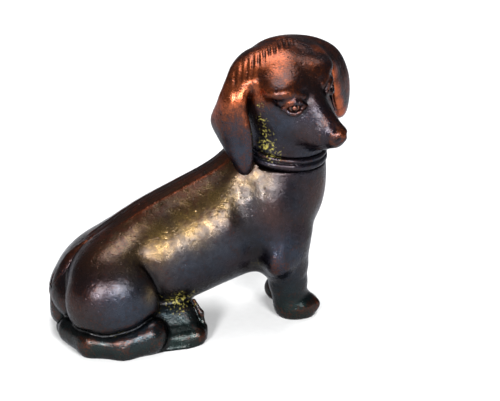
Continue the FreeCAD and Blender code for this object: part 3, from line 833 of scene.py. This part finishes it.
def new_material(name):
    """An empty material with its Principled shader, and the Object coordinates."""
    material = bpy.data.materials.new(name)
    material.use_nodes = True
    tree = material.node_tree
    return material, tree, tree.nodes["Principled BSDF"], add(tree, "TexCoord", out="Object")


def feed(tree, shader, **sockets):
    """Feeds the Principled shader: a socket is linked, and a number is set."""
    for name, value in sockets.items():
        target = shader.inputs[name.replace("_", " ").title().replace("Ior", "IOR")]
        if isinstance(value, bpy.types.NodeSocket):
            tree.links.new(value, target)
        else:
            target.default_value = value


# %% [markdown]
# Real patina on bronze is a thin brown-black oxide over the metal, waxed and rubbed with a cloth.
# It gives the eye three things: nearly black hollows, coloured metal where the oxide is thin, and a soft
# white highlight from the wax. So the base is a dark metal whose colour wanders between brown, violet-grey
# and olive, with bare copper where it's rubbed, dry green salts in the hollows, and a coat for the wax.
# The olive is partly the metal's own tone and partly a painted golden highlight where the front light falls.
# The copper breaks up over a grain of 0.38 mm, as fine scratches do but drawn coarser, so that it shows.
# Pits about 1.3 mm apart and slow dents of 3.6 mm are left from the mould. The oxide also dulls the metal's
# bright rim at a low angle, which a grey-blue specular tint does. Toward the feet the black turns greener
# and
# darker: partly a greener patina, partly painted shade near the board.

# %% Patinated bronze
def patinated_bronze():
    """Layers of tone over a dark metal, one a painted golden highlight and one partly painted shade, each
    shown by its own share, then gloss and relief.
    """
    material, tree, shader, at = new_material("patinated_bronze")
    drift = add(tree, "TexNoise", {"Vector": at, "Scale": per_mm(9.0), "Detail": 3.0})
    mottle = add(tree, "TexNoise", {"Vector": at, "Scale": per_mm(1.6), "Detail": 5.0, "Roughness": 0.65})
    grain = add(tree, "TexNoise", {"Vector": at, "Scale": per_mm(0.38), "Detail": 4.0, "Roughness": 0.7})
    speck = add(tree, "TexNoise", {"Vector": at, "Scale": per_mm(0.5), "Detail": 4.0, "Roughness": 0.7})
    dents = add(tree, "TexNoise", {"Vector": at, "Scale": per_mm(3.6), "Detail": 1.0})
    cells = add(tree, "TexVoronoi", {"Vector": at, "Scale": per_mm(1.3)})
    rise, rubbed, olive_and_painted_sheen, brown, violet, green = (
        add(tree, "Attribute", attribute_name=name, out="Fac")
        for name in ("rise", "copper", "olive_and_painted_sheen", "brown", "violet", "verdigris"))
    height = add(tree, "SeparateXYZ", {0: at}, out="Z")

    # how far each spot is rubbed: its place, how proud it stands, and the break-up of the two patterns
    proud = add(tree, "MapRange", {0: rise, 1: 0.02, 2: 0.10, 4: 0.22})
    broken = add(tree, "Math", {0: grain, 1: 1.3, 2: proud}, operation="MULTIPLY_ADD")
    broken = add(tree, "Math", {0: mottle, 1: 0.7, 2: broken}, operation="MULTIPLY_ADD")
    worn = add(tree, "Math", {0: rubbed, 1: broken}, operation="ADD")
    bare = add(tree, "MapRange", {0: worn, 1: 1.48, 2: 1.98, 4: 0.9})
    hollow = add(tree, "MapRange", {0: rise, 1: -0.03, 2: -0.13})
    patchy = add(tree, "MapRange", {0: mottle, 1: 0.3, 2: 0.6, 3: 1.0, 4: 0.5})
    # the olive share broken by the mottle: partly the metal's olive tone, partly a painted golden highlight
    sheen = add(tree, "Math", {0: olive_and_painted_sheen, 1: patchy}, operation="MULTIPLY")
    salts = add(tree, "Math", {0: hollow, 1: 0.2, 2: green}, operation="MULTIPLY_ADD")
    salts = add(tree, "Math", {0: speck, 1: 3.0, 2: salts}, operation="MULTIPLY_ADD")
    salts = add(tree, "MapRange", {0: salts, 1: 2.34, 2: 2.62})

    # each layer covers the ones before it: its share, then its tone
    base = colour("#1d1419")
    layers = (
        (add(tree, "MapRange", {0: drift, 1: 0.40, 2: 0.60}), "#151a24"),
        # darker green-black toward the board: partly a greener patina, partly painted shade near the board
        (add(tree, "MapRange", {0: height, 1: 0.013, 2: 0.003, 4: 0.85}), "#0f1c19"),
        (violet, "#1f2632"),
        (brown, "#3a2115"),
        # painted highlight: olive-gold where the front light's highlight falls, partly the flank's own olive
        # tone
        (sheen, "#655029"),
        (add(tree, "MapRange", {0: mottle, 1: 0.46, 2: 0.62, 4: 0.5}), "#0c090b"),
        (add(tree, "MapRange", {0: worn, 1: 1.12, 2: 1.50, 4: 0.9}), "#45200f"),
        (bare, "#8c4526"),
        (add(tree, "MapRange", {0: rise, 1: -0.03, 2: -0.13, 4: 0.75}), "#060507"),
        (salts, "#7d7434"),
    )
    for share, tone in layers:
        base = add(tree, "Mix", {0: share, 6: base, 7: colour(tone)}, out=2, data_type="RGBA")

    rough = add(tree, "MapRange", {0: mottle, 1: 0.35, 2: 0.65, 3: 0.23, 4: 0.38})
    rough = add(tree, "Math", {0: salts, 1: 0.4, 2: rough}, operation="MULTIPLY_ADD")
    rough = add(tree, "Math", {0: bare, 1: -0.08, 2: rough}, operation="MULTIPLY_ADD")
    pits = add(tree, "MapRange", {0: cells, 1: 0.05, 2: 0.2, 3: -0.55, 4: 0.0})
    relief = add(tree, "Math", {0: mottle, 1: 1.2, 2: pits}, operation="MULTIPLY_ADD")
    relief = add(tree, "Math", {0: grain, 1: 0.5, 2: relief}, operation="MULTIPLY_ADD")
    relief = add(tree, "Math", {0: dents, 1: 1.0, 2: relief}, operation="MULTIPLY_ADD")
    bump = add(tree, "Bump", {"Strength": 1.0, "Distance": 0.09 * MM, "Height": relief})
    feed(tree, shader, base_color=base, metallic=add(tree, "MapRange", {0: salts, 3: 0.92, 4: 0.0}),
         roughness=rough, normal=bump, specular_tint=(0.35, 0.37, 0.42, 1.0),
         coat_weight=0.26, coat_roughness=0.12, coat_ior=1.45, coat_normal=bump)
    return material


patina = patinated_bronze()
print(patina.name, len(patina.node_tree.nodes), "nodes")

# %% [markdown]
# The pieces that the castings hide are plain stock: a turned steel stud, nut and washer, a rough iron slug,
# a sawn and faced brass plate with two screws, and a pressed wool felt.
# Each metal shows the lathe or the file: a fine banded noise, stretched along one axis.

# %% Steel, iron, brass and felt
def stock_metal(name, light, dark, roughness, line_mm, stretch, relief_mm):
    """A worked metal: lines of one spacing, stretched along an axis, over a slow stain."""
    material, tree, shader, at = new_material(name)
    drawn = add(tree, "Mapping", {"Vector": at, "Scale": stretch})
    lines = add(tree, "TexNoise", {"Vector": drawn, "Scale": per_mm(line_mm), "Detail": 3.0})
    stain = add(tree, "TexNoise", {"Vector": at, "Scale": per_mm(3.0), "Detail": 4.0})
    tarnish = add(tree, "MapRange", {0: stain, 1: 0.4, 2: 0.7})
    tracks = add(tree, "MapRange", {0: lines, 1: 0.35, 2: 0.65, 3: 0.5})
    share = add(tree, "Math", {0: tarnish, 1: tracks}, operation="MULTIPLY")
    base = add(tree, "Mix", {0: share, 6: colour(light), 7: colour(dark)}, out=2, data_type="RGBA")
    rough = add(tree, "MapRange", {0: stain, 1: 0.3, 2: 0.7, 3: roughness - 0.06, 4: roughness + 0.12})
    bump = add(tree, "Bump", {"Strength": 0.6, "Distance": relief_mm * MM, "Height": lines})
    feed(tree, shader, base_color=base, metallic=1.0, roughness=rough, normal=bump)
    return material


def wool_felt():
    """Pressed wool: short fibres of 0.3 mm in two directions, lighter where they lift."""
    material, tree, shader, at = new_material("wool_felt")
    fibres = []
    for turn in (0.5, 2.0):
        laid = add(tree, "Mapping", {"Vector": at, "Rotation": (0.0, 0.0, turn), "Scale": (1.0, 0.25, 1.0)})
        fibres.append(add(tree, "TexNoise", {"Vector": laid, "Scale": per_mm(0.3), "Detail": 4.0}))
    lift = add(tree, "Math", {0: fibres[0], 1: fibres[1]}, operation="MAXIMUM")
    share = add(tree, "MapRange", {0: lift, 1: 0.45, 2: 0.7})
    base = add(tree, "Mix", {0: share, 6: colour("#16241c"), 7: colour("#3d5a48")}, out=2, data_type="RGBA")
    bump = add(tree, "Bump", {"Strength": 0.9, "Distance": 0.15 * MM, "Height": lift})
    feed(tree, shader, base_color=base, roughness=0.95, sheen_weight=0.4, sheen_roughness=0.5, normal=bump)
    return material


def eye_copper():
    """Polished copper bead, darkened in its ring and round its foot."""
    material, tree, shader, at = new_material("eye_copper")
    rise = add(tree, "Attribute", attribute_name="rise", out="Fac")
    stain = add(tree, "TexNoise", {"Vector": at, "Scale": per_mm(0.7), "Detail": 4.0})
    base = colour("#6e3a26")
    layers = ((add(tree, "MapRange", {0: stain, 1: 0.35, 2: 0.65}), "#3a201a"),
              (add(tree, "MapRange", {0: rise, 1: 0.004, 2: -0.004}), "#0c0808"))
    for share, tone in layers:
        base = add(tree, "Mix", {0: share, 6: base, 7: colour(tone)}, out=2, data_type="RGBA")
    rough = add(tree, "MapRange", {0: stain, 1: 0.3, 2: 0.7, 3: 0.2, 4: 0.34})
    bump = add(tree, "Bump", {"Strength": 0.5, "Distance": 0.02 * MM, "Height": stain})
    feed(tree, shader, base_color=base, metallic=0.9, roughness=rough, normal=bump,
         coat_weight=0.5, coat_roughness=0.15)
    return material


copper = eye_copper()
steel = stock_metal("turned_steel", "#9a9a98", "#6a6763", 0.32, 0.5, (1.0, 1.0, 6.0), 0.01)
iron = stock_metal("rough_iron", "#6d6762", "#4a342a", 0.55, 1.2, (1.0, 1.0, 1.0), 0.05)
plate_brass = stock_metal("faced_brass", "#b89a58", "#7d6334", 0.3, 0.6, (1.0, 8.0, 1.0), 0.01)
screw_brass = stock_metal("screw_brass", "#c7a763", "#8a6c38", 0.26, 0.4, (1.0, 1.0, 5.0), 0.008)
felt = wool_felt()
print("stock:", steel.name, iron.name, plate_brass.name, screw_brass.name, felt.name, copper.name)

# %% [markdown]
# Each modelled casting takes the patina, and each eye the polished copper. The frame's own nodes that stay,
# such as stud, slug, plate and felt, keep their shape and get their finish in every material slot.

# %% Finishes on the pieces
for piece in BODY_PIECES + HEAD_PIECES:
    piece.data.materials.append(patina)
for name in ("right", "left"):
    eye_piece = bpy.data.objects["eye_bead_" + name]
    eye_piece.data.materials.append(copper)
FINISHES = {"neck_stud": steel, "neck_washer": steel, "neck_nut": steel, "ballast_slug": iron,
            "base_plate": plate_brass, "base_screws": screw_brass, "seat_felt": felt}
for name, node in frame["nodes"].items():
    finish = FINISHES.get(name, copper if name.endswith("_eye") else patina)
    for slot in node.material_slots:
        slot.material = finish
    print(name, len(node.material_slots), finish.name)

# %% [markdown]
# The camera stands a forearm's length away, a little behind the figure's side and above it, as one looks at
# a paperweight on a desk. A long lens keeps the head from growing against the haunch.

# %% Camera
VIEW_AZIMUTH, VIEW_ELEVATION, VIEW_DISTANCE = -15.0, 22.0, 350.0
LENS = 126.0
LOOK_AT = np.array([10.47, 0.0, 24.05])
a, e = math.radians(VIEW_AZIMUTH), math.radians(VIEW_ELEVATION)
to_camera = np.array([math.sin(a) * math.cos(e), -math.cos(a) * math.cos(e), math.sin(e)])
camera_data = bpy.data.cameras.new("camera")
camera_data.lens = LENS
camera_data.clip_start = 0.01
camera = bpy.data.objects.new("camera", camera_data)
bpy.context.scene.collection.objects.link(camera)
camera.location = (LOOK_AT + SHIFT + to_camera * VIEW_DISTANCE) * MM
camera.rotation_euler = Vector((-to_camera).tolist()).to_track_quat("-Z", "Y").to_euler()
bpy.context.scene.camera = camera
print("camera at, mm:", [round(v / MM, 1) for v in camera.location])

# %% [markdown]
# The figure stands on a white board. A second board is laid behind it, and their edges leave a hairline.
# Nothing stands up behind the figure, so it can be looked at from every side. A softbox in front gives the
# long highlights on flank, haunch and muzzle, a smaller one further round picks out shoulder and temple,
# and a wide weak one overhead lights the boards. The room stays dim, so the bronze keeps its dark hollows.

# %% Boards
BOARD_EDGE = 50.7                      # mm from the point looked at to the board's far edge
BOARD_REACH = 1500                     # mm that the boards run to each side and away from that edge
HAIRLINE = 0.12                        # gap between the two boards
heading = np.array([-math.sin(a), math.cos(a), 0.0])
across = np.array([heading[1], -heading[0], 0.0])
centre = (LOOK_AT + SHIFT) * (1, 1, 0)
foot = centre + heading * BOARD_EDGE


def sheet_of(name, corners, material):
    """A flat quad through four corners in mm."""
    mesh = bpy.data.meshes.new(name)
    mesh.from_pydata([tuple(c * MM) for c in corners], [], [(0, 1, 2, 3)])
    mesh.materials.append(material)
    ob = bpy.data.objects.new(name, mesh)
    bpy.context.scene.collection.objects.link(ob)
    ob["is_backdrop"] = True


def white_board():
    """Matt white card with a very faint tooth."""
    material, tree, shader, at = new_material("white_board")
    tooth = add(tree, "TexNoise", {"Vector": at, "Scale": per_mm(1.5), "Detail": 3.0})
    base = add(tree, "Mix", {0: tooth, 6: colour("#cfcfcf"), 7: colour("#d8d8d8")}, out=2, data_type="RGBA")
    bump = add(tree, "Bump", {"Strength": 0.2, "Distance": 0.1 * MM, "Height": tooth})
    feed(tree, shader, base_color=base, roughness=0.8, normal=bump)
    return material


board = white_board()
behind = foot + heading * HAIRLINE
side, away = across * BOARD_REACH, heading * BOARD_REACH
sheet_of("near_board", [foot - side, foot - side - away, foot + side - away, foot + side], board)
sheet_of("far_board", [behind - side, behind + side, behind + side + away, behind - side + away], board)
print("boards meet at, mm:", np.round(foot, 1))

# %% Lights
FIGURE_MIDDLE = 25.0                   # mm above the boards

world = bpy.data.worlds.new("studio")
bpy.context.scene.world = world
world.use_nodes = True
world.node_tree.nodes["Background"].inputs["Color"].default_value = (0.9, 0.95, 1.0, 1)
world.node_tree.nodes["Background"].inputs["Strength"].default_value = 0.2


def softbox(name, place, aim, size, power):
    """A square area light at a place in mm, turned to a point."""
    data = bpy.data.lights.new(name, "AREA")
    data.size = size * MM
    data.energy = power
    box = bpy.data.objects.new(name, data)
    bpy.context.scene.collection.objects.link(box)
    box.location = np.array(place) * MM
    box.rotation_euler = Vector(np.array(aim) - np.array(place)).to_track_quat("-Z", "Y").to_euler()
    print(name, "light, mm:", [round(float(v)) for v in place])


def around(azimuth, elevation, distance):
    """A place in mm by its heading from the front, its height angle and its distance from the figure."""
    turn, rise = math.radians(azimuth), math.radians(elevation)
    return (distance * math.sin(turn) * math.cos(rise), -distance * math.cos(turn) * math.cos(rise),
            FIGURE_MIDDLE + distance * math.sin(rise))


softbox("key", around(6.0, 24.0, 600.0), (0.0, 0.0, FIGURE_MIDDLE), 160.0, 5.6)
softbox("second", around(-34.0, 22.0, 600.0), (0.0, 0.0, FIGURE_MIDDLE), 110.0, 5.5)
softbox("overhead", (60.0, 170.0, 560.0), (20.0, 110.0, 0.0), 420.0, 4.6)
bpy.context.scene.view_settings.view_transform = "Standard"

# %% [markdown]
# The castings are as large as the fitted parts that they stand for. The box round everything but the boards
# is worked out.

low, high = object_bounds()
